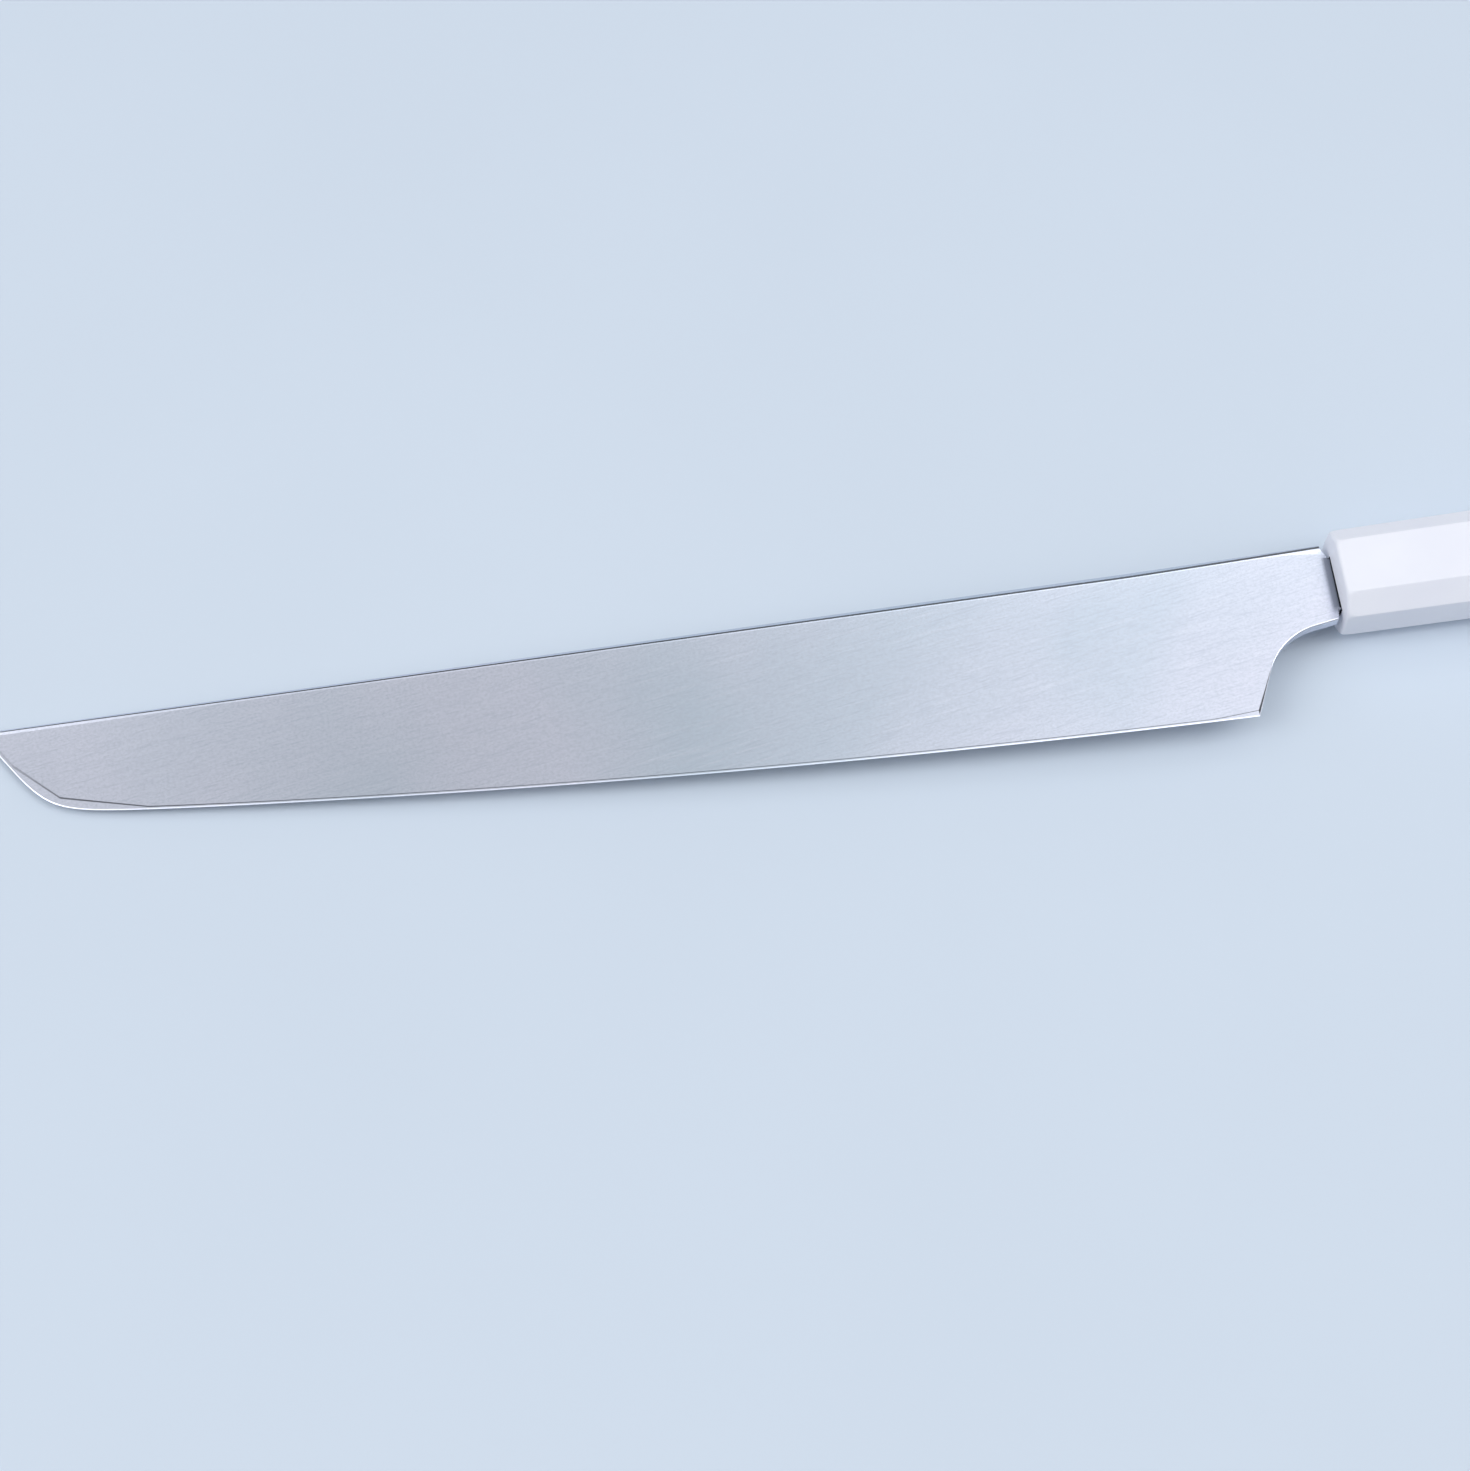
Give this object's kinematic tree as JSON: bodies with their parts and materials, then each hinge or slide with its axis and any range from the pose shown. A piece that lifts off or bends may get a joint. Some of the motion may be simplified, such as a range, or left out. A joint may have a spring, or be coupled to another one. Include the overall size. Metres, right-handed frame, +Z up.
{
  "type": "sword-tipped yanagiba knife",
  "caption": "Long single-bevel slicing knife with a hollow-ground back, slanted sword tip, rounded choil and a white octagonal handle; for slicing raw fish in one draw.",
  "frame": {"origin": "middle of the knife's bounding box, on the surface under the handle", "axes": "+X along the blade from tip to butt, +Y from the edge toward the spine, +Z up out of the hollow back of the blade"},
  "size_m": [0.447, 0.0404, 0.021],
  "materials": {
    "blade_steel": "fine satin, ground lengthwise",
    "handle_resin": "smooth satin white",
    "dowel_wood": "bare turned hardwood",
    "adhesive": "cured epoxy"
  },
  "bodies": {
    "root": {"blade": "blade_steel", "handle_shell": "handle_resin", "core_dowel": "dowel_wood", "tang_adhesive": "adhesive", "butt_plug": "handle_resin"}
  },
  "joints": []
}
